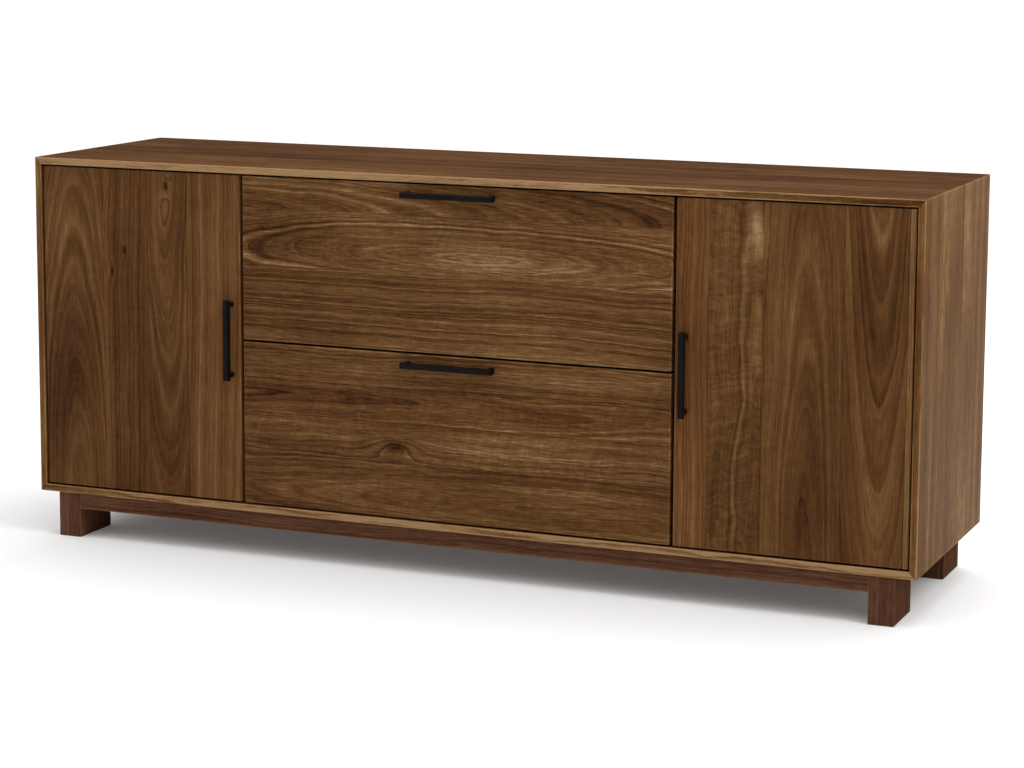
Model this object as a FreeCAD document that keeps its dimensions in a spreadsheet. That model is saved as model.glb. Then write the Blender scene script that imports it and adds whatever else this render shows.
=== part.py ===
import FreeCAD, Part
import os
import re
import Sketcher

# An office credenza in solid walnut: a mitred case on a slab-legged base, a door at each
# end on concealed pivot hinges, and two wide file drawers on ball-bearing slides between.
# Millimetres. +X is to the right, -Y to the front, +Z up. The origin is on the floor, at
# the middle of the box that holds the whole object, pulls included.

os.makedirs("parts", exist_ok=True)
doc = FreeCAD.newDocument("credenza")


# ---- Driving dimensions ----------------------------------------------------------------

SIZES = {
    # Case
    "case_width": 1676.4,
    "case_depth": 457.2,
    "case_height": 627.0,
    "panel_thick": 12.7,
    "arris": 1.2,
    "spline_width": 9.0,
    "spline_thick": 3.2,
    "spline_shift": 1.5,
    "spline_stop": 14.0,
    "back_thick": 6.4,
    "back_rabbet": 6.0,
    "glue_gap": 0.1,
    # Partitions between the door bays and the drawers
    "partition_thick": 19.0,
    "partition_housing": 5.0,
    "partition_setback": 2.0,
    # Doors and drawer fronts
    "front_recess": 3.5,
    "front_thick": 19.0,
    "edge_gap": 3.2,
    "bay_gap": 6.5,
    "drawer_gap": 4.2,
    "drawer_front_width": 814.6,
    # Shelves and their pins
    "shelf_thick": 19.0,
    "shelf_play": 1.5,
    "shelf_inset": 14.0,
    "shelf_rise": 290.0,
    "shelf_pin_diameter": 5.0,
    "shelf_pin_hole": 9.0,
    "shelf_pin_reach": 8.0,
    "shelf_pin_inset": 40.0,
    "shelf_pin_pitch": 32.0,
    # Pivot hinges
    "pivot_inset": 18.0,
    "pivot_diameter": 5.0,
    "pivot_play": 0.06,
    "pivot_entry": 3.0,
    "pivot_plate_length": 46.0,
    "pivot_plate_width": 13.0,
    "pivot_plate_thick": 2.5,
    "washer_diameter": 11.0,
    "running_gap": 0.3,
    # Magnetic catches
    "magnet_diameter": 8.0,
    "magnet_depth": 10.0,
    "strike_diameter": 12.0,
    "strike_thick": 1.6,
    "catch_drop": 70.0,
    "catch_inset": 5.0,
    # Pulls
    "pull_projection": 25.0,
    "pull_width": 10.0,
    "pull_depth": 11.0,
    "pull_post": 7.5,
    "pull_round": 2.0,
    "pull_edge": 18.0,
    "door_pull_length": 146.0,
    "door_pull_centres": 128.0,
    "drawer_pull_length": 174.0,
    "drawer_pull_centres": 160.0,
    "screw_diameter": 4.0,
    "screw_entry": 9.0,
    "screw_head_diameter": 8.0,
    "screw_head_height": 2.4,
    # Drawer boxes
    "box_back_gap": 28.3,
    "box_rise": 8.0,
    "box_drop": 25.5,
    "box_thick": 12.7,
    "box_floor_thick": 6.4,
    "box_floor_rise": 10.0,
    "box_groove": 6.0,
    "dovetail_pin": 8.0,
    "dovetail_splay": 2.1,
    "file_bar_thick": 3.0,
    "file_bar_height": 20.0,
    "file_bar_seat": 6.0,
    "file_bar_inset": 28.3,
    # Ball-bearing slides
    "slide_setback": 2.0,
    "slide_end_gap": 2.0,
    "slide_rise": 96.0,
    "slide_height": 45.6,
    "slide_thick": 12.7,
    "slide_steel": 1.4,
    "slide_nest": 3.2,
    "case_member_depth": 10.0,
    "middle_member_depth": 7.6,
    "drawer_member_depth": 6.4,
    "ball_diameter": 4.4,
    "ball_play": 0.1,
    "cage_steel": 0.8,
    "cage_play": 0.5,
    "cage_end_gap": 4.5,
    # Base
    "base_height": 84.0,
    "leg_width": 45.0,
    "leg_depth": 106.0,
    "leg_side_inset": 37.0,
    "leg_front_inset": 5.0,
    "leg_ease": 1.5,
    "rail_height": 29.0,
    "rail_thick": 19.0,
    "tenon_length": 14.0,
    "tenon_thick": 9.0,
    "tenon_height": 19.0,
}
DOVETAIL_TAILS = 6
BALLS_PER_ROW = 3
PIN_ROWS = 3
SMALL_ROD_SIDES = 12
TOUCH = 0.001

sheet = doc.addObject("Spreadsheet::Sheet", "sizes")
for row, (alias, size) in enumerate(SIZES.items(), start=1):
    sheet.set(f"A{row}", alias)
    sheet.set(f"B{row}", str(size))
    sheet.setAlias(f"B{row}", alias)
doc.recompute()


# ---- Places worked out from the dimensions, as formulas ------------------------------

FRONT = "((pull_projection - front_recess - case_depth) / 2)"
BACK = f"({FRONT} + case_depth)"
FLOOR = "(base_height + panel_thick)"
TOP = "(base_height + case_height)"
CEILING = f"({TOP} - panel_thick)"
MIDDLE = "(base_height + case_height / 2)"
INSIDE = "(case_width / 2 - panel_thick)"

FACE = f"({FRONT} + front_recess)"
FACE_BACK = f"({FACE} + front_thick)"
DOOR_BOTTOM = f"({FLOOR} + edge_gap)"
DOOR_HEIGHT = "(case_height - 2 * panel_thick - 2 * edge_gap)"
DOOR_LEFT = "(drawer_front_width / 2 + bay_gap)"
DOOR_RIGHT = f"({INSIDE} - edge_gap)"
DRAWER_FRONT_HEIGHT = f"(({DOOR_HEIGHT} - drawer_gap) / 2)"

PARTITION = "(drawer_front_width / 2 + bay_gap / 2)"
PARTITION_FRONT = f"({FACE_BACK} + partition_setback)"
PARTITION_BACK = f"({BACK} - back_thick)"
PARTITION_IN = f"({PARTITION} - partition_thick / 2)"
PARTITION_OUT = f"({PARTITION} + partition_thick / 2)"

BOX_SIDE = f"({PARTITION_IN} - slide_thick)"
BOX_BACK = f"({PARTITION_BACK} - box_back_gap)"
BOX_DEPTH = f"({BOX_BACK} - {FACE_BACK})"
BOX_HEIGHT = f"({DRAWER_FRONT_HEIGHT} - box_rise - box_drop)"

SLIDE_FRONT = f"({PARTITION_FRONT} + slide_setback)"
SLIDE_LENGTH = f"({BOX_BACK} - slide_end_gap - {SLIDE_FRONT})"
CAGE_LENGTH = f"({SLIDE_LENGTH} / 2 - 2 * cage_end_gap)"
CAGE_FRONT = f"({SLIDE_FRONT} + {SLIDE_LENGTH} / 4 + cage_end_gap)"


# ---- Ways of making pieces ---------------------------------------------------------------

SIDEWAYS = FreeCAD.Vector(1, 0, 0)
BACKWARD = FreeCAD.Vector(0, 1, 0)
UPWARD = FreeCAD.Vector(0, 0, 1)


def formula(text):
    """The text as an expression on the sheet: each name in it is an alias there."""
    return re.sub(r"\b[a-z]\w*\b(?!\()", lambda name: "sizes." + name.group(), text)


def bind(item, **texts):
    for name, text in texts.items():
        item.setExpression(name, formula(text))


def place(item, x="0", y="0", z="0"):
    item.setExpression(".Placement.Base.x", formula(x))
    item.setExpression(".Placement.Base.y", formula(y))
    item.setExpression(".Placement.Base.z", formula(z))
    return item


def box(label, x, y, z, length, width, height):
    """A block from its low corner: x, y, z and its size along X, Y and Z."""
    item = doc.addObject("Part::Box", label)
    bind(item, Length=length, Width=width, Height=height)
    return place(item, x, y, z)


def rod(label, x, y, z, diameter, length, toward=UPWARD):
    """A cylinder that starts at x, y, z and runs the way toward points."""
    item = doc.addObject("Part::Cylinder", label)
    bind(item, Radius=f"({diameter}) / 2", Height=length)
    item.Placement.Rotation = FreeCAD.Rotation(UPWARD, toward)
    return place(item, x, y, z)


def small_rod(label, x, y, z, diameter, length, toward):
    """A small pin, screw or hole: a rod with flat sides, because there are so many of them."""
    item = doc.addObject("Part::Prism", label)
    item.Polygon = SMALL_ROD_SIDES
    bind(item, Circumradius=f"({diameter}) / 2", Height=length)
    item.Placement.Rotation = FreeCAD.Rotation(UPWARD, toward)
    return place(item, x, y, z)


def group(label, *items):
    """Separate solids that share one node."""
    item = doc.addObject("Part::Compound", label)
    item.Links = list(items)
    return item


def fuse(label, *items):
    item = doc.addObject("Part::MultiFuse", label)
    item.Shapes = list(items)
    return item


def cut(label, base, *tools):
    item = doc.addObject("Part::Cut", label)
    item.Base = base
    item.Tool = tools[0] if len(tools) == 1 else group(label + "_tools", *tools)
    return item


def mirror(label, source, normal, x="0", y="0", z="0"):
    """The source mirrored in the plane through x, y, z."""
    item = doc.addObject("Part::Mirroring", label)
    item.Source = source
    item.Normal = normal
    item.setExpression("Base.x", formula(x))
    item.setExpression("Base.y", formula(y))
    item.setExpression("Base.z", formula(z))
    return item


def profile(label, plane, loops, length, x="0", y="0", z="0"):
    """A body padded from closed outlines in the XZ, YZ or XY plane, toward +Y, +X or +Z.

    Every corner of an outline is a pair of formulas, dimensioned from the body's origin.
    """
    piece = doc.addObject("PartDesign::Body", label)
    sketch = piece.newObject("Sketcher::SketchObject", label + "_sketch")
    roles = {feature.Role: feature for feature in piece.Origin.OriginFeatures}
    sketch.AttachmentSupport = [(roles[plane + "_Plane"], "")]
    sketch.MapMode = "FlatFace"
    for corners in loops:
        first = sketch.GeometryCount
        count = len(corners)
        ring = [FreeCAD.Rotation(UPWARD, 360 * index / count).multVec(SIDEWAYS) for index in range(count)]
        sketch.addGeometry([Part.LineSegment(ring[index], ring[(index + 1) % count])
                            for index in range(count)], False)
        sketch.addConstraint([Sketcher.Constraint("Coincident", first + index, 2,
                                                  first + (index + 1) % count, 1)
                              for index in range(count)])
        for index, corner in enumerate(corners):
            for kind, start, text in zip(("DistanceX", "DistanceY"), ring[index], corner):
                sized = Sketcher.Constraint(kind, -1, 1, first + index, 1, start)
                where = sketch.addConstraint(sized)
                sketch.setExpression(f"Constraints[{where}]", formula(text))
    pad = piece.newObject("PartDesign::Pad", label + "_pad")
    pad.Profile = sketch
    pad.Reversed = plane == "XZ"
    bind(pad, Length=length)
    return place(piece, x, y, z)


def ease(piece, kind, size, chosen):
    """A Chamfer or Fillet on those edges of a body that chosen accepts by their bounds."""
    doc.recompute()
    base = piece.Tip
    whole = base.Shape.BoundBox
    edges = [f"Edge{number}" for number, edge in enumerate(base.Shape.Edges, start=1)
             if chosen(edge.BoundBox, whole)]
    feature = piece.newObject("PartDesign::" + kind, f"{piece.Label}_{kind.lower()}")
    feature.Base = (base, edges)
    bind(feature, **{{"Chamfer": "Size", "Fillet": "Radius"}[kind]: size})
    return piece


def same(one, other):
    return abs(one - other) < TOUCH


def rectangle(low_u, low_v, high_u, high_v):
    return [(low_u, low_v), (high_u, low_v), (high_u, high_v), (low_u, high_v)]


def pair(label, right):
    """The right-hand piece with its mirror image on the left, in one node."""
    return group(label, right, mirror(label + "_left", right, SIDEWAYS))


nodes = {}


def keep(label, item):
    """Names the finished piece and puts it in the list of nodes."""
    item.Label = label
    nodes[label] = item
    return item


# ---- Partitions, back panel and what is housed in the case --------------------------------

def partition(label):
    """One upright between a door bay and the drawers, housed in the top and the bottom."""
    return box(label, PARTITION_IN, PARTITION_FRONT, f"{FLOOR} - partition_housing", "partition_thick",
               f"{PARTITION_BACK} - {PARTITION_FRONT}", f"{CEILING} - {FLOOR} + 2 * partition_housing")


def corner_splines(label, play):
    """A loose tongue across each mitre, from a stopped slot at the front to the back.

    play widens the tongues into the slots that they are glued in.
    """
    width = f"(spline_width + {play})"
    thick = f"(spline_thick + {play})"
    tongue = box(label + "_tongue",
                 f"case_width / 2 - panel_thick / 2 - spline_shift - sqrt(1 / 8) * ({width} + {thick})",
                 f"{FRONT} + spline_stop - {play}",
                 f"{TOP} - panel_thick / 2 - spline_shift + sqrt(1 / 8) * ({width} - {thick})",
                 width, f"case_depth - spline_stop - back_thick + {play}", thick)
    tongue.Placement.Rotation = FreeCAD.Rotation(BACKWARD, 45)
    above = pair(label + "_above", tongue)
    below = mirror(label + "_below", above, UPWARD, z=MIDDLE)
    return group(label, above, below)


right_partition_blank = partition("right_partition_blank")
left_partition_blank = mirror("left_partition_blank", right_partition_blank, SIDEWAYS)

back_space = box("back_space", f"-{INSIDE} - back_rabbet", PARTITION_BACK, f"{FLOOR} - back_rabbet",
                 f"2 * ({INSIDE} + back_rabbet)", "back_thick", f"{CEILING} - {FLOOR} + 2 * back_rabbet")
back_panel = box("back_panel", f"-{INSIDE} - back_rabbet + glue_gap", PARTITION_BACK,
                 f"{FLOOR} - back_rabbet + glue_gap", f"2 * ({INSIDE} + back_rabbet - glue_gap)",
                 "back_thick", f"{CEILING} - {FLOOR} + 2 * (back_rabbet - glue_gap)")
spline_slots = corner_splines("spline_slots", "glue_gap")
keep("back_panel", back_panel)
keep("corner_splines", corner_splines("corner_splines", "0"))


# ---- Pivot hinges ------------------------------------------------------------------------

# The hinge line stands inside the door, pivot_inset from its outer edge and half way
# through its thickness, so the door's corner swings clear of the case side.
PIVOT = f"({DOOR_RIGHT} - pivot_inset)"
PIVOT_DEPTH = f"({FACE} + front_thick / 2)"


def pivot_plate(label, base):
    """A flat plate with one round end about the hinge line, let in flush."""
    strip = box(label + "_strip", f"{PIVOT} - pivot_plate_length + pivot_plate_width / 2",
                f"{PIVOT_DEPTH} - pivot_plate_width / 2", base,
                "pivot_plate_length - pivot_plate_width / 2", "pivot_plate_width", "pivot_plate_thick")
    end = rod(label + "_end", PIVOT, PIVOT_DEPTH, base, "pivot_plate_width", "pivot_plate_thick")
    return fuse(label, strip, end)


def top_and_bottom(label, low):
    """The low piece of the right door and its mirror image above, in one node."""
    return group(label, low, mirror(label + "_high", low, UPWARD, z=MIDDLE))


case_plate = pivot_plate("case_plate", f"{FLOOR} - pivot_plate_thick")
case_pin = rod("case_pin", PIVOT, PIVOT_DEPTH, f"{FLOOR} - pivot_plate_thick", "pivot_diameter",
               "2 * pivot_plate_thick + edge_gap + pivot_entry")
case_pivot = fuse("case_pivot", case_plate, case_pin)
door_plate_blank = pivot_plate("door_plate_blank", DOOR_BOTTOM)
pivot_bore = rod("pivot_bore", PIVOT, PIVOT_DEPTH, f"{DOOR_BOTTOM} - edge_gap",
                 "pivot_diameter + 2 * pivot_play", "2 * edge_gap + pivot_plate_thick")
door_plate = cut("door_plate", door_plate_blank, pivot_bore)
pin_clearance = rod("pin_clearance", PIVOT, PIVOT_DEPTH, DOOR_BOTTOM,
                    "pivot_diameter + 2 * running_gap", "pivot_plate_thick + pivot_entry + 2 * running_gap")
door_mortise = fuse("door_mortise", door_plate_blank, pin_clearance)
washer_disc = rod("washer_disc", PIVOT, PIVOT_DEPTH, FLOOR, "washer_diameter", "edge_gap - running_gap")
washer = cut("washer", washer_disc, pivot_bore)

keep("case_pivots", pair("case_pivots", top_and_bottom("right_case_pivots", case_pivot)))
keep("pivot_washers", pair("pivot_washers", top_and_bottom("right_washers", washer)))
right_door_plates = keep("right_door_plates", top_and_bottom("right_door_plates", door_plate))
keep("left_door_plates", mirror("left_door_plates", right_door_plates, SIDEWAYS))
case_plate_slots = pair("case_plate_slots", top_and_bottom("right_case_plate_slots", case_plate))
door_mortises = top_and_bottom("door_mortises", door_mortise)


# ---- Shelves on pins -------------------------------------------------------------------

SHELF_BOTTOM = f"({FLOOR} + shelf_rise)"
SHELF_FRONT = f"({PARTITION_FRONT} + shelf_inset)"
PIN_HEIGHT = f"({SHELF_BOTTOM} - shelf_pin_diameter / 2)"
PIN_PLACES = [(face, depth, way) for depth in (f"({SHELF_FRONT} + shelf_pin_inset)",
                                               f"({PARTITION_BACK} - shelf_pin_inset)")
              for face, way in ((PARTITION_OUT, SIDEWAYS), (INSIDE, -SIDEWAYS))]


def shelf_pin(label, face, depth, way):
    """A pin that stands out of one wall of the right-hand bay under the shelf."""
    inset = f"{face} - {way.x} * shelf_pin_reach"
    return small_rod(label, inset, depth, PIN_HEIGHT, "shelf_pin_diameter", "2 * shelf_pin_reach", way)


def shelf_pin_hole(label, face, depth, way, step):
    inset = f"{face} - {way.x} * shelf_pin_hole"
    height = f"{PIN_HEIGHT} + {step} * shelf_pin_pitch"
    return small_rod(label, inset, depth, height, "shelf_pin_diameter + glue_gap", "shelf_pin_hole", way)


right_shelf = box("right_shelf", f"{PARTITION_OUT} + shelf_play", SHELF_FRONT, SHELF_BOTTOM,
                  f"{INSIDE} - {PARTITION_OUT} - 2 * shelf_play",
                  f"{PARTITION_BACK} - {SHELF_FRONT} - shelf_play", "shelf_thick")
keep("right_shelf", right_shelf)
keep("left_shelf", mirror("left_shelf", right_shelf, SIDEWAYS))
shelf_pins = group("right_shelf_pins", *[shelf_pin(f"shelf_pin_{number}", *spot)
                                         for number, spot in enumerate(PIN_PLACES)])
keep("shelf_pins", pair("shelf_pins", shelf_pins))
partition_holes = group("partition_holes", *[
    shelf_pin_hole(f"partition_hole_{number}_{step}", *spot, step - PIN_ROWS // 2)
    for number, spot in enumerate(PIN_PLACES) if spot[0] == PARTITION_OUT for step in range(PIN_ROWS)])
side_holes = group("side_holes", *[
    shelf_pin_hole(f"side_hole_{number}_{step}", *spot, step - PIN_ROWS // 2)
    for number, spot in enumerate(PIN_PLACES) if spot[0] == INSIDE for step in range(PIN_ROWS)])


# ---- Magnetic catches --------------------------------------------------------------------

# The magnet stands in the partition's front edge, behind the door's free edge.
CATCH = f"({PARTITION_OUT} - catch_inset)"
CATCH_HEIGHT = f"({CEILING} - catch_drop)"
right_magnet = rod("right_catch_magnet", CATCH, f"{FACE_BACK} + running_gap", CATCH_HEIGHT,
                   "magnet_diameter", "magnet_depth + partition_setback - running_gap", BACKWARD)
magnet_hole = rod("magnet_hole", CATCH, PARTITION_FRONT, CATCH_HEIGHT,
                  "magnet_diameter + glue_gap", "magnet_depth", BACKWARD)
right_strike = rod("right_catch_strike", CATCH, f"{FACE_BACK} - strike_thick", CATCH_HEIGHT,
                   "strike_diameter", "strike_thick", BACKWARD)
keep("catch_magnets", pair("catch_magnets", right_magnet))
keep("right_catch_strike", right_strike)
keep("left_catch_strike", mirror("left_catch_strike", right_strike, SIDEWAYS))


# ---- Case --------------------------------------------------------------------------------

def ease_front(panel, runs_along):
    """Takes the sharp arris off the two long front edges of a mitred panel."""
    return ease(panel, "Chamfer", "arris", lambda edge, whole:
                same(edge.YMax, whole.YMin) and same(edge.YMin, whole.YMin)
                and min(edge.XLength, edge.ZLength) < TOUCH < getattr(edge, runs_along))


top_blank = profile("top_blank", "XZ", [[("-case_width / 2", "0"), ("case_width / 2", "0"),
                                         (INSIDE, "-panel_thick"), ("-" + INSIDE, "-panel_thick")]],
                    "case_depth", y=FRONT, z=TOP)
ease_front(top_blank, "XLength")
bottom_blank = mirror("bottom_blank", top_blank, UPWARD, z=MIDDLE)
side_blank = profile("side_blank", "XZ", [[("0", "0"), ("0", "case_height"),
                                           ("-panel_thick", "case_height - panel_thick"),
                                           ("-panel_thick", "panel_thick")]],
                     "case_depth", x="case_width / 2", y=FRONT, z="base_height")
ease_front(side_blank, "ZLength")

housings = group("housings", right_partition_blank, left_partition_blank)
keep("top_panel", cut("top_panel", top_blank, back_space, spline_slots, housings, case_plate_slots))
keep("bottom_panel", cut("bottom_panel", bottom_blank, back_space, spline_slots, housings, case_plate_slots))
right_side = cut("right_side_panel", side_blank, back_space, spline_slots, side_holes)
keep("right_side_panel", right_side)
keep("left_side_panel", mirror("left_side_panel", right_side, SIDEWAYS))
right_partition = cut("right_partition", right_partition_blank, partition_holes, magnet_hole)
keep("right_partition", right_partition)
keep("left_partition", mirror("left_partition", right_partition, SIDEWAYS))


# ---- Pulls --------------------------------------------------------------------------------

def pull(label, length, centres):
    """A bar that stands on two posts, along X, with its seat at y = 0 and a bore in each post."""
    post_in = f"({centres} / 2 - pull_post / 2)"
    post_out = f"({centres} / 2 + pull_post / 2)"
    half = f"({length} / 2)"
    right_half = [(half, "-pull_projection"), (half, "-pull_projection + pull_depth"),
                  (post_out, "-pull_projection + pull_depth"), (post_out, "0"), (post_in, "0"),
                  (post_in, "-pull_projection + pull_depth")]
    left_half = [("-" + u, v) for u, v in reversed(right_half)]
    bar = profile(label + "_bar", "XY", [right_half + left_half], "pull_width", z="-pull_width / 2")
    ease(bar, "Fillet", "pull_round", lambda edge, whole: same(edge.YMax, whole.YMin)
         and min(edge.XLength, edge.ZLength) < TOUCH)
    bores = [small_rod(f"{label}_bore_{number}", f"{side} * {centres} / 2", "-screw_entry", "0",
                       "screw_diameter", "screw_entry", BACKWARD) for number, side in enumerate((-1, 1))]
    return cut(label, bar, *bores)


def screws(label, centres):
    """Two pan-head screws through a front, with their heads behind it, along X."""
    parts = []
    for number, side in enumerate((-1, 1)):
        across = f"{side} * {centres} / 2"
        shank = small_rod(f"{label}_shank_{number}", across, "-screw_entry", "0", "screw_diameter",
                          "screw_entry + front_thick", BACKWARD)
        head = small_rod(f"{label}_head_{number}", across, "front_thick", "0", "screw_head_diameter",
                         "screw_head_height", BACKWARD)
        parts.append(fuse(f"{label}_{number}", shank, head))
    return group(label, *parts)


def upright(item):
    """Turns a piece that lies along X so that it stands along Z."""
    item.Placement.Rotation = FreeCAD.Rotation(BACKWARD, 90)
    return item


# ---- Doors --------------------------------------------------------------------------------

DOOR_PULL = f"({DOOR_LEFT} + pull_edge)"

door_blank = profile("door_blank", "XZ", [rectangle("0", "0", f"{DOOR_RIGHT} - {DOOR_LEFT}", DOOR_HEIGHT)],
                     "front_thick", x=DOOR_LEFT, y=FACE, z=DOOR_BOTTOM)
ease(door_blank, "Chamfer", "arris", lambda edge, whole: same(edge.YMax, whole.YMin))
door_pull = upright(pull("door_pull", "door_pull_length", "door_pull_centres"))
place(door_pull, DOOR_PULL, FACE, MIDDLE)
door_pull_screws = upright(screws("door_pull_screws", "door_pull_centres"))
place(door_pull_screws, DOOR_PULL, FACE, MIDDLE)
right_door = cut("right_door", door_blank, door_mortises, door_pull_screws, right_strike)
for label, right in (("door", right_door), ("door_pull", door_pull), ("door_pull_screws", door_pull_screws)):
    keep("right_" + label, right)
    keep("left_" + label, mirror("left_" + label, right, SIDEWAYS))


# ---- Drawers ------------------------------------------------------------------------------

def dovetail_pins(label, base):
    """The pins of one front corner of a drawer box: wedges between the side's tails."""
    loops = []
    for number in range(DOVETAIL_TAILS + 1):
        middle = f"{number} * {BOX_HEIGHT} / {DOVETAIL_TAILS}"
        below = "" if number == 0 else "- dovetail_pin / 2"
        above = "" if number == DOVETAIL_TAILS else "+ dovetail_pin / 2"
        splay_below = below and below + " - dovetail_splay"
        splay_above = above and above + " + dovetail_splay"
        loops.append([("0", middle + below), ("box_thick", middle + splay_below),
                      ("box_thick", middle + splay_above), ("0", middle + above)])
    return profile(label, "YZ", loops, "box_thick", x=f"{BOX_SIDE} - box_thick", y=FACE_BACK, z=base)


def drawer(name, front_base):
    """One file drawer: its front, dovetailed box, floor, file bars, pull and screws."""
    base = f"({front_base} + box_rise)"
    half_way = f"(({FACE_BACK} + {BOX_BACK}) / 2)"
    floor = box(name + "_drawer_floor", f"-{BOX_SIDE} + box_thick - box_groove",
                f"{FACE_BACK} + box_thick - box_groove", f"{base} + box_floor_rise",
                f"2 * ({BOX_SIDE} - box_thick + box_groove)",
                f"{BOX_DEPTH} - 2 * (box_thick - box_groove)", "box_floor_thick")
    front_bar = box(name + "_file_bar", f"-{BOX_SIDE} + box_thick - file_bar_seat",
                    f"{FACE_BACK} + box_thick + file_bar_inset", f"{base} + {BOX_HEIGHT} - file_bar_height",
                    f"2 * ({BOX_SIDE} - box_thick + file_bar_seat)", "file_bar_thick", "file_bar_height")
    bars = group(name + "_file_bars", front_bar,
                 mirror(name + "_file_bar_back", front_bar, BACKWARD, y=half_way))

    pins = dovetail_pins(name + "_pins", base)
    pins_back = mirror(name + "_pins_back", pins, BACKWARD, y=half_way)
    side_plank = box(name + "_side_plank", f"{BOX_SIDE} - box_thick", FACE_BACK, base,
                     "box_thick", BOX_DEPTH, BOX_HEIGHT)
    side = cut(name + "_drawer_right", side_plank, pins, pins_back, floor, bars)
    end_plank = box(name + "_end_plank", f"-{BOX_SIDE} + box_thick", FACE_BACK, base,
                    f"2 * ({BOX_SIDE} - box_thick)", "box_thick", BOX_HEIGHT)
    end = fuse(name + "_end", end_plank, pins, mirror(name + "_pins_left", pins, SIDEWAYS))
    box_back = cut(name + "_drawer_back", mirror(name + "_end_back", end, BACKWARD, y=half_way), floor)

    pull_height = f"({front_base} + {DRAWER_FRONT_HEIGHT} - pull_edge)"
    bar = place(pull(name + "_drawer_pull", "drawer_pull_length", "drawer_pull_centres"),
                "0", FACE, pull_height)
    fixings = place(screws(name + "_pull_screws", "drawer_pull_centres"), "0", FACE, pull_height)
    front_blank = profile(name + "_front_blank", "XZ", [
        rectangle("-drawer_front_width / 2", "0", "drawer_front_width / 2", DRAWER_FRONT_HEIGHT)],
        "front_thick", y=FACE, z=front_base)
    ease(front_blank, "Chamfer", "arris", lambda edge, whole: same(edge.YMax, whole.YMin))

    keep(name + "_drawer_front", cut(name + "_drawer_front", front_blank, fixings))
    keep(name + "_drawer_box_front", cut(name + "_drawer_box_front", end, floor))
    keep(name + "_drawer_box_back", box_back)
    keep(name + "_drawer_right_side", side)
    keep(name + "_drawer_left_side", mirror(name + "_drawer_left", side, SIDEWAYS))
    keep(name + "_drawer_floor", floor)
    keep(name + "_file_bars", bars)
    keep(name + "_drawer_pull", bar)
    keep(name + "_pull_screws", fixings)
    slides(name, f"({base} + slide_rise)")


# ---- Ball-bearing slides -----------------------------------------------------------------

# Three channels nest in each slide, all level with its centre line. From the partition
# toward the drawer they are the case member, the middle member and the drawer member.
CASE_HALF = "(slide_height / 2)"
MIDDLE_HALF = f"({CASE_HALF} - slide_steel - ball_diameter - 2 * ball_play)"
DRAWER_HALF = f"({MIDDLE_HALF} - slide_steel - ball_diameter - 2 * ball_play)"


def channel(label, half, near, depth, thick, height, open_inward):
    """A C-section that runs back from the slide's front.

    half is half its height, near the distance of its back from the partition, depth how far
    its lips reach and open_inward whether they reach toward the drawer.
    """
    way = 1 if open_inward else -1
    web = f"-({near})"
    inner = f"-({near} + {way} * {thick})"
    lip = f"-({near} + {way} * {depth})"
    outline = [(web, f"-{half}"), (lip, f"-{half}"), (lip, f"-{half} + {thick}"),
               (inner, f"-{half} + {thick}"), (inner, f"{half} - {thick}"), (lip, f"{half} - {thick}"),
               (lip, half), (web, half)]
    return profile(label, "XZ", [outline], SLIDE_LENGTH, x=PARTITION_IN, y=SLIDE_FRONT, z=height)


def ball_row_heights(half, height):
    """The heights of the upper and the lower row of balls outside a channel."""
    reach = f"({half} + ball_play + ball_diameter / 2)"
    return (f"({height} - {reach})", f"({height} + {reach})")


def ball(label, x, y, z):
    """A ball with few faces: what two eight-sided prisms of its diameter have in common."""
    prisms = []
    for number, way in enumerate((SIDEWAYS, BACKWARD)):
        prism = doc.addObject("Part::Prism", f"{label}_prism_{number}")
        prism.Polygon = 8
        bind(prism, Circumradius="ball_diameter / 2", Height="ball_diameter")
        prism.Placement.Rotation = FreeCAD.Rotation(UPWARD, way)
        place(prism, f"{x} - {way.x} * ball_diameter / 2", f"{y} - {way.y} * ball_diameter / 2", z)
        prisms.append(prism)
    item = doc.addObject("Part::MultiCommon", label)
    item.Shapes = prisms
    return item


def cage_and_balls(label, half, near, centre, height):
    """A ball cage round the channel of that half height, and the balls that it carries."""
    reach = f"({half} + ball_play + ball_diameter / 2)"
    outline_half = f"({reach} + cage_steel / 2)"
    lip = f"({centre} - {near} + ball_diameter / 2 + cage_steel)"
    strip = channel(label + "_strip", outline_half, near, lip, "cage_steel", height, True)
    bind(strip.Tip, Length=CAGE_LENGTH)
    place(strip, PARTITION_IN, CAGE_FRONT, height)
    windows = []
    balls = []
    for number in range(BALLS_PER_ROW):
        along = f"({CAGE_FRONT} + ({number} + 0.5) * {CAGE_LENGTH} / {BALLS_PER_ROW})"
        across = f"({PARTITION_IN} - {centre})"
        window = "(ball_diameter + 2 * ball_play)"
        windows.append(box(f"{label}_window_{number}", f"{across} - {window} / 2", f"{along} - {window} / 2",
                           f"{height} - {outline_half} - cage_steel", window, window,
                           f"2 * ({outline_half} + cage_steel)"))
        for row, level in enumerate(ball_row_heights(half, height)):
            balls.append(ball(f"{label}_ball_{number}_{row}", across, along, level))
    return group(label, cut(label + "_cage", strip, *windows), *balls)


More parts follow.
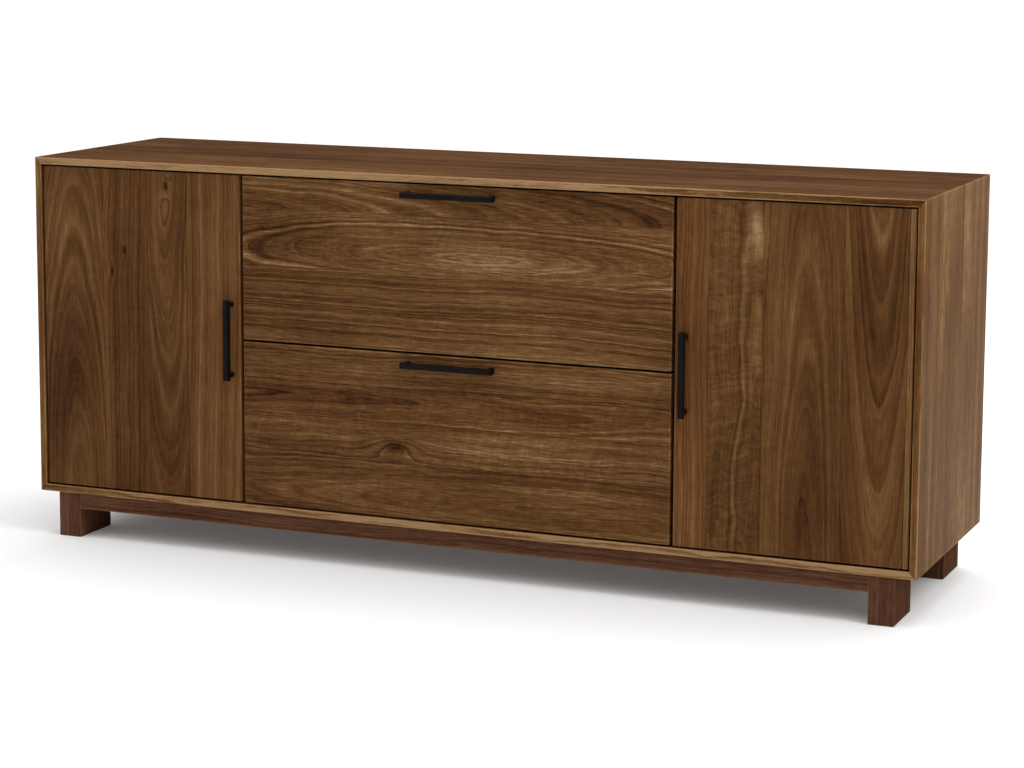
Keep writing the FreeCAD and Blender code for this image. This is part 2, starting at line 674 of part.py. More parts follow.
def slides(name, height):
    """The pair of slides of one drawer, with the moving members level with its sides."""
    case_member = channel(name + "_case_member", CASE_HALF, "0", "case_member_depth",
                          "slide_steel", height, True)
    middle_member = channel(name + "_middle_member", MIDDLE_HALF, "slide_nest", "middle_member_depth",
                            "slide_steel", height, True)
    drawer_member = channel(name + "_drawer_member", DRAWER_HALF, "slide_thick", "drawer_member_depth",
                            "slide_steel", height, False)
    outer_cage = cage_and_balls(name + "_outer_cage", MIDDLE_HALF, "(slide_steel + cage_play)",
                                "((slide_nest + case_member_depth) / 2)", height)
    inner_cage = cage_and_balls(
        name + "_inner_cage", DRAWER_HALF, "(slide_nest + slide_steel + cage_play)",
        "((slide_nest + middle_member_depth + slide_thick - drawer_member_depth) / 2)", height)
    keep(name + "_slide_case_members", pair(name + "_slide_case_members", case_member))
    keep(name + "_slide_middle_members", pair(name + "_slide_middle_members", middle_member))
    keep(name + "_slide_drawer_members", pair(name + "_slide_drawer_members", drawer_member))
    keep(name + "_outer_ball_cages", pair(name + "_outer_ball_cages", outer_cage))
    keep(name + "_inner_ball_cages", pair(name + "_inner_ball_cages", inner_cage))


drawer("lower", DOOR_BOTTOM)
drawer("upper", f"({DOOR_BOTTOM} + {DRAWER_FRONT_HEIGHT} + drawer_gap)")


# ---- Base ----------------------------------------------------------------------------------

LEG_OUT = "(case_width / 2 - leg_side_inset)"
LEG_IN = f"({LEG_OUT} - leg_width)"
LEG_FRONT = f"({FRONT} + leg_front_inset)"
BASE_MIDDLE = f"({FRONT} + case_depth / 2)"
RAIL_BACK = f"({LEG_FRONT} + rail_thick)"


def tenon(label, x, y, length, width):
    """The tongue on a rail's end, level with the middle of the rail."""
    return box(label, x, y, "base_height - rail_height / 2 - tenon_height / 2", length, width, "tenon_height")


front_bar = box("front_bar", "-" + LEG_IN, LEG_FRONT, "base_height - rail_height",
                f"2 * {LEG_IN}", "rail_thick", "rail_height")
rail_tenon = tenon("rail_tenon", LEG_IN, f"{LEG_FRONT} + (rail_thick - tenon_thick) / 2",
                   "tenon_length", "tenon_thick")
rail_tenons = pair("rail_tenons", rail_tenon)
cross_bar = box("cross_bar", f"{PARTITION} - rail_thick / 2", RAIL_BACK, "base_height - rail_height",
                "rail_thick", f"2 * ({BASE_MIDDLE} - {RAIL_BACK})", "rail_height")
cross_tenon = tenon("cross_tenon", f"{PARTITION} - tenon_thick / 2", f"{RAIL_BACK} - tenon_thick",
                    "tenon_thick", "tenon_thick")
cross_tenon_back = mirror("cross_tenon_back", cross_tenon, BACKWARD, y=BASE_MIDDLE)
cross_rail = fuse("right_cross_rail", cross_bar, cross_tenon, cross_tenon_back)
front_rail = cut("front_rail", fuse("front_rail_blank", front_bar, rail_tenon, rail_tenons.Links[1]),
                 pair("cross_tenons", cross_tenon))

leg_blank = profile("leg_blank", "XY", [rectangle("0", "0", "leg_width", "leg_depth")], "base_height",
                    x=LEG_IN, y=LEG_FRONT)
ease(leg_blank, "Chamfer", "leg_ease", lambda edge, whole: same(edge.ZMax, whole.ZMin))
front_leg = cut("right_front_leg", leg_blank, rail_tenon)

keep("front_rail", front_rail)
keep("back_rail", mirror("back_rail", front_rail, BACKWARD, y=BASE_MIDDLE))
keep("right_cross_rail", cross_rail)
keep("left_cross_rail", mirror("left_cross_rail", cross_rail, SIDEWAYS))
keep("right_front_leg", front_leg)
keep("left_front_leg", mirror("left_front_leg", front_leg, SIDEWAYS))
back_leg = keep("right_back_leg", mirror("right_back_leg", front_leg, BACKWARD, y=BASE_MIDDLE))
keep("left_back_leg", mirror("left_back_leg", back_leg, SIDEWAYS))


# ---- Check and write ----------------------------------------------------------------------

doc.recompute()
for item in doc.Objects:
    if {"Invalid", "Error"} & set(item.State):
        raise SystemExit(f"{item.Label} failed: {item.State}")
for label, item in nodes.items():
    if item.Shape.isNull() or not item.Shape.isValid():
        raise SystemExit(f"{label} has no valid shape")
for label, item in nodes.items():
    item.Shape.exportStep(f"parts/{label}.step")
print(len(nodes), "nodes,", sum(len(item.Shape.Solids) for item in nodes.values()), "solids")
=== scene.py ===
import math

import bmesh
import bpy
from mathutils import Matrix, Vector


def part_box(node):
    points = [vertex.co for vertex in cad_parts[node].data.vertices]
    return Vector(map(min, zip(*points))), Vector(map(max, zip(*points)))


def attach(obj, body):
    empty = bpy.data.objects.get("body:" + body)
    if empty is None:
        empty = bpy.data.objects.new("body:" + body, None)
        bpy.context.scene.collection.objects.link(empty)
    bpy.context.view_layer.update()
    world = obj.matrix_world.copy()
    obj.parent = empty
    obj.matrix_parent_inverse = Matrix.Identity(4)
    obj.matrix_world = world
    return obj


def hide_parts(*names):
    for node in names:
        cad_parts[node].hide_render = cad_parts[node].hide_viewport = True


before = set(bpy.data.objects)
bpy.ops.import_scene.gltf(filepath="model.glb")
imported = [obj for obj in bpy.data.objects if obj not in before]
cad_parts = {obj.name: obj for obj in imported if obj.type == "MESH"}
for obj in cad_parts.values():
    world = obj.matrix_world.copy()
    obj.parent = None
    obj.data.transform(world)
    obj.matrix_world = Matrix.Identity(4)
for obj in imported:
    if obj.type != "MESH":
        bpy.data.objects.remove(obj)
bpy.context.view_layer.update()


# ---- The case -----------------------------------------------------------------------------
# Four walnut panels mitred into a box, edge-glued from boards of mixed width, with two uprights
# and two shelves inside. The grain runs round the box: along the top and bottom and up the
# sides. Arrises are eased with a block, and painted paler as a painted highlight.

class Shade:
    """A shader socket: sums written with it add Math nodes to its finish."""

    def __init__(self, finish, socket):
        self.finish = finish
        self.socket = socket

    def output(self, name):
        return Shade(self.finish, self.socket.node.outputs[name])

    def __add__(self, other):
        return self.finish.maths("ADD", self, other)

    def __sub__(self, other):
        return self.finish.maths("SUBTRACT", self, other)

    def __rsub__(self, other):
        return self.finish.maths("SUBTRACT", other, self)

    def __mul__(self, other):
        return self.finish.maths("MULTIPLY", self, other)

    def __truediv__(self, other):
        return self.finish.maths("DIVIDE", self, other)

    def __pow__(self, other):
        return self.finish.maths("POWER", self, other)

    def __abs__(self):
        return self.finish.maths("ABSOLUTE", self)

    __radd__ = __add__
    __rmul__ = __mul__


class Finish:
    """The node tree of one finish, built from the pattern up to the shader."""

    def __init__(self, owner):
        owner.use_nodes = True
        self.owner = owner
        self.tree = owner.node_tree
        self.tree.nodes.clear()

    def node(self, kind, settings, sockets, out=0):
        """One node: its settings first, where stops fill a ramp, then its sockets."""
        made = self.tree.nodes.new("ShaderNode" + kind)
        settings = dict(settings)
        stops = settings.pop("stops", [])
        between = settings.pop("between", "LINEAR")
        for name, value in settings.items():
            setattr(made, name, value)
        if stops:
            ramp = made.color_ramp
            ramp.interpolation = between
            for _ in stops[2:]:
                ramp.elements.new(1.0)
            for element, (position, value) in zip(ramp.elements, stops):
                element.position = position
                element.color = value
        for name, value in sockets.items():
            if isinstance(value, Shade):
                self.tree.links.new(value.socket, made.inputs[name])
            else:
                made.inputs[name].default_value = value
        return Shade(self, made.outputs[out]) if made.outputs else None

    def maths(self, operation, *values):
        return self.node("Math", {"operation": operation}, dict(enumerate(values)))

    def place(self):
        """Where a point lies in the frame, in metres."""
        return self.node("TexCoord", {}, {}, "Object")

    def rise(self, value, low, high):
        """0 below low, 1 above high, and a smooth climb between them."""
        return self.node("MapRange", {"interpolation_type": "SMOOTHSTEP"},
                         {"Value": value, "From Min": low, "From Max": high})

    def vector(self, x, y, z):
        return self.node("CombineXYZ", {}, {0: x, 1: y, 2: z})

    def cloud(self, where, detail=2.0, rough=0.5):
        """Noise in space, about 0.5 on the mean."""
        return self.node("TexNoise", {"noise_dimensions": "3D"},
                         {"Vector": where, "Scale": 1.0, "Detail": detail, "Roughness": rough})

    def streak(self, where, detail=2.0, rough=0.5):
        """Noise along one line, about 0.5 on the mean."""
        return self.node("TexNoise", {"noise_dimensions": "1D"},
                         {"W": where, "Scale": 1.0, "Detail": detail, "Roughness": rough})

    def stain(self, share, colour, tint):
        """A colour multiplied by a tint, as strongly as share says."""
        return self.node("Mix", {"data_type": "RGBA", "blend_type": "MULTIPLY"},
                         {0: share, 6: colour, 7: tint}, out=2)

    def surface(self, colour, rough, height=None, depth=0.0, **fixed):
        """The shader itself; height is in units of depth, in metres."""
        sockets = {"Base Color": colour, "Roughness": rough}
        if height is not None:
            sockets["Normal"] = self.node("Bump", {}, {"Strength": 1.0, "Distance": depth,
                                                       "Height": height})
        sockets.update({name.replace("_", " "): value for name, value in fixed.items()})
        shader = self.node("BsdfPrincipled", {}, sockets)
        self.node("OutputMaterial", {}, {"Surface": shader})
        return self.owner


WALNUT_BROWNS = [(0.0, (0.014, 0.0046, 0.0012, 1)), (0.25, (0.040, 0.0145, 0.0040, 1)),
                 (0.5, (0.096, 0.0400, 0.0118, 1)), (0.72, (0.158, 0.0770, 0.0265, 1)),
                 (1.0, (0.330, 0.1950, 0.0920, 1))]
RED_TINT = (1.12, 0.84, 0.74, 1)
PORE_TINT = (0.42, 0.36, 0.32, 1)
GRAIN_DEPTH = 0.00012
SIGNED = 1.0  # added to what a ramp holds, because a ramp holds nothing below 0
SEED_STEP = 0.37
PAST_EDGE = 0.0002
RING_BANDS, RING_LINES, RING_GROWTH = 52, 210, 135  # per metre of the log's radius
FIBRES, DASHES, PORES = (420, 32), (170, 6.5), (1150, 34)  # per metre across and along
# How far from its middle each line starts to fade, and where it is gone
ARRIS = (0.0006, 0.0026)
SEAM = (0.0003, 0.0012)
MITRE = (0.0002, 0.0009)
CASE_HALF = 0.8382
CASE_MIDDLE = 0.3975
CASE_HALF_HEIGHT = 0.3135


def walnut(node, along, across, boards, knots=(), clouds=(), browns=WALNUT_BROWNS, shows="low",
           shift=0.0, figure=0.6, lines=0.5, grit=1.0, edge_highlight=0.30, sheen=0.05, mitred=False,
           fades=()):
    """Edge-glued boards. Each board is (far edge, place of the heart, its depth, its lean,
    swirl, tone, redness), and the rings are cylinders round that heart. figure, lines and grit
    weigh the broad bands, the fine growth lines, and the fibres and pores. A knot is (side, run,
    size). clouds are lighter or darker places on a face, as (side, run, width, length, gain).
    fades do the same along the first board, the front edge of the case."""
    finish = Finish(bpy.data.materials.new(node + "_wood"))
    spot = finish.node("SeparateXYZ", {}, {0: finish.place()})
    through = "XYZ".replace(along, "").replace(across, "")
    run, side, deep = (spot.output(axis) for axis in (along, across, through))
    low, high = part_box(node)
    face = (low if shows == "low" else high)["XYZ".index(through)]
    start = low["XYZ".index(across)] - PAST_EDGE
    span = high["XYZ".index(across)] + PAST_EDGE - start
    edges = [start] + [board[0] for board in boards[:-1]]

    def of_board(*columns):
        """Three values of the board that a point is in; column 0 stands for its number."""
        stops = []
        for number, (edge, board) in enumerate(zip(edges, boards)):
            values = [SIGNED + (board[column] if column else SEED_STEP * number)
                      for column in columns]
            stops.append(((edge - start) / span, (*values, 1)))
        ramp = finish.node("ValToRGB", {"stops": stops, "between": "CONSTANT"},
                           {0: (side - start) / span})
        split = finish.node("SeparateColor", {}, {0: ramp})
        return [split.output(part) - SIGNED for part in ("Red", "Green", "Blue")]

    def grain(rates, detail, rough=0.5):
        """Noise drawn out along the boards."""
        sideways, lengthways = rates
        return finish.cloud(finish.vector(side * sideways, run * lengthways, deep * sideways),
                            detail, rough)

    def hairline(off, width, weight):
        """A line with soft edges where off is 0."""
        return (1 - finish.rise(off, *width)) * weight

    heart, sunk, lean = of_board(1, 2, 3)
    swirl, tone, red = of_board(4, 5, 6)
    seed = of_board(0, 0, 0)[0]

    # The heart of the log wanders, and the fibres weave about it
    wander = finish.cloud(finish.vector(side * 2.0, run * 1.6, seed * 31), 1.0)
    weave = finish.cloud(finish.vector(side * 14, run * 4.5, seed * 17 + 5), 3.0, 0.55) - 0.5
    dip = finish.cloud(finish.vector(seed * 23 + 9, run * 3.0, side * 3.0), 2.0) - 0.5
    off = side - heart + (wander - 0.5) * 0.03 + weave * (0.012 + swirl * 0.05)
    below = sunk + lean * run + abs(deep - face) * 0.7 + dip * 0.012
    ring = finish.maths("SQRT", off * off + below * below)

    # Rings bulge round a knot; clouds and fades lighten or darken a stretch
    dark = 0.0
    for knot_side, knot_run, size in knots:
        gap = ((side - knot_side) / size) ** 2.0 + ((run - knot_run) / (size * 2.2)) ** 2.0
        ring = ring + finish.maths("EXPONENT", gap * -0.35) * (size * 1.6)
        dark = finish.maths("EXPONENT", gap * -2.6) + dark
    light = 0.0
    for cloud_side, cloud_run, wide, long, gain in clouds:
        gap = (((side - cloud_side + weave * 0.05) / wide) ** 2.0
               + ((run - cloud_run + dip * 0.1) / long) ** 2.0)
        light = finish.maths("EXPONENT", gap * -1.0) * gain + light
    front_edge = finish.maths("LESS_THAN", side, boards[0][0])
    for fade_run, long, gain in fades:
        gap = ((run - fade_run) / long) ** 2.0
        light = finish.maths("EXPONENT", gap * -1.0) * front_edge * gain + light

    # Bands of colour, growth lines, fibres, pores and the ripple of curly wood
    bands = finish.streak(ring * RING_BANDS + seed * 11, 2.0, 0.5) - 0.5
    fine = finish.streak(ring * RING_LINES + seed * 7, 3.0, 0.66) - 0.5
    uneven = finish.streak(ring * 38 + seed, 1.0) * 3.0
    growth = finish.maths("FRACT", ring * RING_GROWTH + uneven)
    strong = finish.rise(finish.streak(ring * 24 + seed * 3 + 40, 1.0), 0.34, 0.62)
    latewood = growth ** 3.0 * strong
    fibre = grain(FIBRES, 3.0, 0.62) - 0.5
    dash = grain(DASHES, 2.0, 0.6) - 0.5
    pore = finish.rise(grain(PORES, 1.0), 0.60, 0.72)
    curl = finish.vector(side * 34 + weave * 5, run * 120 + weave * 9, seed * 5)
    ripple = finish.cloud(curl, 3.0, 0.62) - 0.5
    patch = finish.cloud(finish.vector(side * 11, run * 3.2, seed * 9 + 2), 3.0, 0.55) - 0.5
    value = (tone + 0.55 + light + bands * (0.66 * figure) + fine * (0.80 * lines)
             - latewood * (0.34 * lines) + fibre * (0.60 * grit)
             + dash * (0.12 * grit + 0.26 * lines) + patch * 0.46
             + ripple * (0.10 + swirl * 0.55))

    # The arrises are painted paler as a painted highlight; glued seams and mitres are dark
    # hairlines
    inset = [(most - least) / 2 - abs(spot.output(axis) - (least + most) / 2)
             for axis, least, most in zip("XYZ", low, high)]
    farthest = finish.maths("MAXIMUM", finish.maths("MAXIMUM", inset[0], inset[1]), inset[2])
    arris = hairline(inset[0] + inset[1] + inset[2] - farthest, ARRIS, edge_highlight)
    value = value + arris * (patch + 1.0) - dark * 0.5 + shift
    for seam in edges[1:]:
        value = value - hairline(abs(side - seam), SEAM, 0.16)
    if mitred:
        from_side = CASE_HALF - abs(spot.output("X"))
        from_top = CASE_HALF_HEIGHT - abs(spot.output("Z") - CASE_MIDDLE)
        value = value - hairline(abs(from_side - from_top), MITRE, 0.5)

    colour = finish.node("ValToRGB", {"stops": browns}, {0: value})
    colour = finish.stain(finish.rise(red, 0.0, 1.0), colour, RED_TINT)
    colour = finish.stain(pore * (0.55 * grit), colour, PORE_TINT)
    rough = 0.50 + fibre * 0.16 + pore * 0.20 - bands * 0.08
    height = fibre * (0.5 * grit) - pore * grit - latewood * 0.4
    return finish.surface(colour, rough, height, GRAIN_DEPTH, Specular_IOR_Level=sheen)


MERGE = 1e-6
TOUCH = 1e-5


def lay(finish, *nodes):
    """Gives a finish to CAD pieces that are kept as they are."""
    for node in nodes:
        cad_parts[node].material_slots[0].material = finish


def hold(*pieces):
    """Selects these pieces alone, with the first one active."""
    bpy.ops.object.select_all(action="DESELECT")
    for piece in pieces:
        piece.select_set(True)
    bpy.context.view_layer.objects.active = pieces[0]


def merged(node, body):
    """A copy of a CAD piece, merged into flat faces, that takes the piece's place."""
    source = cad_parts[node]
    piece = bpy.data.objects.new(node + "_piece", source.data.copy())
    bpy.context.scene.collection.objects.link(piece)
    hold(piece)
    bpy.ops.mesh.customdata_custom_splitnormals_clear()
    bpy.ops.object.mode_set(mode="EDIT")
    bpy.ops.mesh.select_all(action="SELECT")
    bpy.ops.mesh.remove_doubles(threshold=MERGE)
    bpy.ops.mesh.dissolve_limited(angle_limit=math.radians(1))
    bpy.ops.object.mode_set(mode="OBJECT")
    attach(piece, body)
    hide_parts(node)
    return piece


def pick(piece, kind, accept):
    """In edit mode, selects those edges or faces of a piece that accept takes, and no others."""
    bpy.ops.mesh.select_all(action="DESELECT")
    mesh = bmesh.from_edit_mesh(piece.data)
    for part in getattr(mesh, kind):
        part.select_set(accept(part))
    bmesh.update_edit_mesh(piece.data)


def round_over(piece, width, accept):
    """Rounds the edges of a piece that accept takes by their two ends."""
    hold(piece)
    bpy.ops.object.mode_set(mode="EDIT")
    pick(piece, "edges", lambda edge: accept(*(end.co for end in edge.verts)))
    bpy.ops.mesh.bevel(offset=width, segments=3, profile=0.5)
    bpy.ops.object.mode_set(mode="OBJECT")
    bpy.ops.object.shade_smooth_by_angle(angle=math.radians(40))


def eased(node, body, width, along="XYZ"):
    """A board, rounded where two of its outer faces meet along those axes."""
    low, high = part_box(node)

    def on_two_faces(one, other):
        axis = max(range(3), key=lambda number: abs(one[number] - other[number]))
        faces = sum(all(abs(end[side] - limit[side]) < TOUCH for end in (one, other))
                    for side in range(3) for limit in (low, high))
        return faces == 2 and "XYZ"[axis] in along

    board = merged(node, body)
    round_over(board, width, on_two_faces)
    return board


CASE_EASE = 0.0008
SHELF_EASE = 0.0015
# The first board is the strip at the front edge, painted lighter as a painted highlight
TOP_BOARDS = [(-0.216, -0.300, 0.030, 0.010, 0.3, 0.56, 0.0),
              (-0.135, -0.240, 0.080, 0.010, 0.0, -0.02, 0.2),
              (-0.040, -0.090, 0.030, 0.010, 0.1, 0.02, 0.1),
              (0.055, 0.120, 0.090, 0.005, 0.0, -0.05, 0.3),
              (0.150, 0.100, 0.030, -0.01, 0.1, 0.00, 0.1),
              (0.240, 0.260, 0.080, 0.000, 0.0, -0.03, 0.2)]
# The first board is the strip at the front edge, painted lighter as a painted highlight
BOTTOM_BOARDS = [(-0.216, -0.300, 0.060, 0.010, 0.2, 0.52, 0.0),
                 (-0.090, -0.200, 0.100, 0.020, 0.0, 0.03, 0.2),
                 (0.020, 0.000, 0.030, 0.020, 0.1, -0.02, 0.1),
                 (0.130, 0.100, 0.200, 0.000, 0.0, 0.02, 0.3),
                 (0.240, 0.200, 0.030, -0.02, 0.1, 0.00, 0.1)]
SIDE_BOARDS = [(-0.216, -0.300, 0.100, 0.000, 0.0, 0.10, 0.1),
               (-0.155, -0.320, 0.080, 0.010, 0.0, 0.03, 0.0),
               (-0.040, -0.060, 0.050, 0.020, 0.0, 0.07, 0.0),
               (0.050, 0.120, 0.100, 0.010, 0.0, 0.03, 0.1),
               (0.120, 0.080, 0.050, -0.02, 0.0, 0.08, 0.0),
               (0.240, 0.300, 0.070, 0.010, 0.0, 0.05, 0.0)]
PARTITION_BOARDS = [(-0.080, -0.200, 0.050, 0.030, 0.0, -0.02, 0.2),
                    (0.050, 0.000, 0.120, 0.020, 0.1, 0.02, 0.1),
                    (0.234, 0.200, 0.040, -0.03, 0.0, -0.04, 0.3)]
SHELF_BOARDS = [(-0.070, -0.200, 0.050, 0.020, 0.0, 0.02, 0.2),
                (0.080, 0.050, 0.040, 0.010, 0.1, -0.02, 0.1),
                (0.232, 0.200, 0.100, -0.01, 0.0, 0.03, 0.2)]
top = eased("top_panel", "case", CASE_EASE)
top.data.materials[0] = walnut(
    "top_panel", "X", "Y", TOP_BOARDS, shows="high", mitred=True,
    clouds=[(-0.20, -0.10, 0.12, 0.60, 0.11)], fades=[(0.95, 0.54, -0.68), (-0.36, 0.22, 0.10)],
    figure=0.6, lines=0.6, shift=-0.12, edge_highlight=0.60, sheen=0.01)
bottom = eased("bottom_panel", "case", CASE_EASE)
bottom.data.materials[0] = walnut("bottom_panel", "X", "Y", BOTTOM_BOARDS, mitred=True,
                                  fades=[(-0.82, 0.30, -0.34)], lines=0.7)
for hand, shows, fade in (("left", "low", -0.10), ("right", "high", -0.16)):
    panel = hand + "_side_panel"
    side_panel = eased(panel, "case", CASE_EASE)
    side_panel.data.materials[0] = walnut(
        panel, "Z", "Y", SIDE_BOARDS, shows=shows, mitred=True,
        clouds=[(0.0, 0.10, 0.40, 0.12, 0.10), (0.0, 0.70, 0.40, 0.10, 0.06)],
        fades=[(0.45, 0.30, fade)], figure=0.5, lines=0.4, shift=0.04, sheen=0.012)
    upright = hand + "_partition"
    partition = eased(upright, "case", CASE_EASE, "Z")
    partition.data.materials[0] = walnut(upright, "Z", "Y", PARTITION_BOARDS, shows=shows)
    board = hand + "_shelf"
    shelf = eased(board, "case", SHELF_EASE)
    shelf.data.materials[0] = walnut(board, "X", "Y", SHELF_BOARDS, shows="high")


# ---- Doors --------------------------------------------------------------------------------
# Each door is a slab of upright boards, with its edges eased by hand. The left one has arched
# figure beside its outer edge and three small knots; the right one has curly wood by its pull.

FRONT_EASE = 0.0010
LEFT_DOOR_BOARDS = [(-0.697, -0.757, 0.008, 0.110, 0.10, -0.02, 0.12),
                    (-0.603, -0.520, 0.060, 0.030, 0.15, -0.08, 0.25),
                    (-0.522, -0.564, 0.074, -0.100, 0.10, -0.06, 0.12),
                    (-0.413, -0.300, 0.120, 0.030, 0.00, 0.08, 0.30)]
RIGHT_DOOR_BOARDS = [(0.472, 0.600, 0.100, 0.000, 0.00, 0.06, 0.42),
                     (0.566, 0.560, 0.020, 0.050, 0.80, -0.02, 0.00),
                     (0.704, 0.643, 0.012, 0.060, 0.12, -0.02, 0.08),
                     (0.812, 0.768, 0.075, -0.075, 0.08, -0.04, 0.18),
                     (0.823, 0.600, 0.200, 0.000, 0.00, 0.16, 0.00)]
left_slab = eased("left_door", "left_door", FRONT_EASE)
left_slab.data.materials[0] = walnut(
    "left_door", "Z", "X", LEFT_DOOR_BOARDS,
    knots=[(-0.652, 0.547, 0.005), (-0.679, 0.508, 0.006), (-0.564, 0.669, 0.007)],
    clouds=[(-0.790, 0.600, 0.07, 0.16, 0.10), (-0.568, 0.640, 0.020, 0.07, 0.22),
            (-0.775, 0.260, 0.05, 0.20, -0.14)],
    figure=0.82, lines=0.50, grit=0.65, edge_highlight=0.15)
right_slab = eased("right_door", "right_door", FRONT_EASE)
right_slab.data.materials[0] = walnut(
    "right_door", "Z", "X", RIGHT_DOOR_BOARDS,
    clouds=[(0.560, 0.650, 0.014, 0.13, 0.20), (0.556, 0.440, 0.014, 0.09, 0.16),
            (0.645, 0.240, 0.022, 0.15, -0.08), (0.500, 0.600, 0.03, 0.10, 0.14)],
    figure=0.50, lines=0.50, grit=0.65, edge_highlight=0.15)


# ---- Drawer fronts ------------------------------------------------------------------------
# Two wide slabs of boards that run across the drawers. The upper one shows a light eye in a
# swirl of rings above straight dark lines; the lower one is four boards, one with a knot.

UPPER_FRONT_BOARDS = [(0.536, 0.300, 0.100, 0.010, 0.12, 0.06, 0.08),
                      (0.640, 0.570, -0.005, 0.110, 0.25, 0.12, 0.04),
                      (0.696, 0.640, 0.050, 0.090, 0.15, 0.04, 0.08)]
LOWER_FRONT_BOARDS = [(0.197, 0.137, -0.0168, 0.060, 0.20, 0.03, 0.16),
                      (0.270, 0.320, 0.060, 0.010, 0.40, 0.04, 0.10),
                      (0.332, 0.305, 0.025, 0.030, 0.40, 0.04, 0.28),
                      (0.396, 0.480, 0.080, 0.010, 0.12, 0.02, 0.04)]
upper_slab = eased("upper_drawer_front", "upper_drawer", FRONT_EASE)
upper_slab.data.materials[0] = walnut(
    "upper_drawer_front", "X", "Z", UPPER_FRONT_BOARDS,
    clouds=[(0.566, 0.060, 0.03, 0.13, 0.16), (0.545, 0.26, 0.03, 0.10, 0.12),
            (0.590, -0.34, 0.05, 0.11, -0.14), (0.420, -0.28, 0.03, 0.12, -0.14)],
    figure=0.50, lines=0.84, grit=1.2, edge_highlight=0.20)
lower_slab = eased("lower_drawer_front", "lower_drawer", FRONT_EASE)
lower_slab.data.materials[0] = walnut(
    "lower_drawer_front", "X", "Z", LOWER_FRONT_BOARDS,
    knots=[(0.228, -0.105, 0.013)],
    clouds=[(0.307, 0.170, 0.02, 0.08, -0.14), (0.305, -0.32, 0.022, 0.16, -0.16),
            (0.238, 0.10, 0.025, 0.22, 0.08), (0.372, 0.30, 0.03, 0.20, 0.12)],
    figure=0.60, lines=0.80, grit=1.2, edge_highlight=0.20)


# ---- Pulls --------------------------------------------------------------------------------
# Black bar pulls: one square-section bar with rounded arrises that turns in to two posts,
# powder-coated satin. The coat is finely pebbled, and its tone and roughness vary in soft smears.

PULL_BLACKS = [(0.35, (0.0036, 0.0026, 0.0022, 1)), (0.65, (0.0068, 0.0050, 0.0042, 1))]
PEBBLE_DEPTH = 0.00005
coat = Finish(bpy.data.materials.new("pull_black"))
coat_place = coat.place()
pebble = coat.node("TexNoise", {}, {"Vector": coat_place, "Scale": 1900.0, "Detail": 2.0})
smear = coat.node("TexNoise", {}, {"Vector": coat_place, "Scale": 38.0, "Detail": 3.0})
coat_colour = coat.node("ValToRGB", {"stops": PULL_BLACKS}, {0: smear})
pull_black = coat.surface(coat_colour, 0.40 + smear * 0.16, pebble, PEBBLE_DEPTH,
                          Specular_IOR_Level=0.08)
lay(pull_black, "left_door_pull", "right_door_pull", "upper_drawer_pull", "lower_drawer_pull")


# ---- Base ---------------------------------------------------------------------------------
# Four slab legs under the ends, tied by a front and a back rail and two cross rails, in a
# darker, redder walnut than the case. Legs are cut with the grain upright.

BASE_BROWNS = [(0.0, (0.020, 0.0080, 0.0042, 1)), (0.35, (0.046, 0.0190, 0.0098, 1)),
               (0.60, (0.080, 0.0350, 0.0190, 1)), (1.0, (0.160, 0.0820, 0.0460, 1))]
LEG_BOARDS = [(0.802, 0.60, 0.05, 0.02, 0.0, 0.0, 0.2)]
RAIL_BOARDS = [(0.085, 0.16, 0.05, 0.01, 0.1, -0.04, 0.2)]
for leg in ("left_front_leg", "left_back_leg", "right_front_leg", "right_back_leg"):
    lay(walnut(leg, "Z", "X", LEG_BOARDS, browns=BASE_BROWNS, figure=0.3, lines=0.4, shift=0.12,
               edge_highlight=0.1, sheen=0.0), leg)
# The rails are painted lighter than the legs, a painted light against the shade that the case casts
# on them
for rail, way in (("left_cross_rail", "Y"), ("right_cross_rail", "Y"), ("front_rail", "X"),
                  ("back_rail", "X")):
    lay(walnut(rail, way, "Z", RAIL_BOARDS, browns=BASE_BROWNS, shift=0.20, sheen=0.0), rail)


# ---- Plywood back, splines and drawer floors ------------------------------------------------
# Thin walnut-faced plywood, matt. The veneer is straight and even, with little colour change.
# The back is sunk for the screws that hold it in its rabbet.

PLY_BROWNS = [(0.0, (0.050, 0.022, 0.009, 1)), (0.5, (0.140, 0.074, 0.034, 1)),
              (1.0, (0.260, 0.160, 0.090, 1))]
BACK_SHEETS = [(-0.42, -0.62, 0.06, 0.02, 0.0, 0.02, 0.1),
               (0.0, -0.20, 0.06, 0.02, 0.0, -0.02, 0.1),
               (0.42, 0.20, 0.06, 0.02, 0.0, 0.02, 0.1),
               (0.832, 0.62, 0.06, 0.02, 0.0, -0.02, 0.1)]
FLOOR_SHEETS = [(0.0, -0.1, 0.05, 0.02, 0.0, 0.02, 0.1), (0.2, 0.1, 0.05, 0.02, 0.0, -0.02, 0.1)]
SINK_RADIUS = 0.0040
SINK_DEPTH = 0.0005
ROW_SHARES = (-0.96, -0.64, -0.32, 0.0, 0.32, 0.64, 0.96)  # of the rows along top and bottom
ROW_INSET = 0.005
BACK_INSET = 0.008
SIDE_LEVELS = (0.30, 0.50)  # of the two screws at each side


def joined(parts, name):
    """Parts made into one piece."""
    hold(*parts)
    bpy.ops.object.join()
    parts[0].name = name
    return parts[0]


def bore(piece, drill):
    """Cuts the shape of a drill out of a piece, and puts the drill away."""
    cut = piece.modifiers.new("cut", "BOOLEAN")
    cut.object = drill
    bpy.context.view_layer.objects.active = piece
    bpy.ops.object.modifier_apply(modifier=cut.name)
    bpy.data.objects.remove(drill)


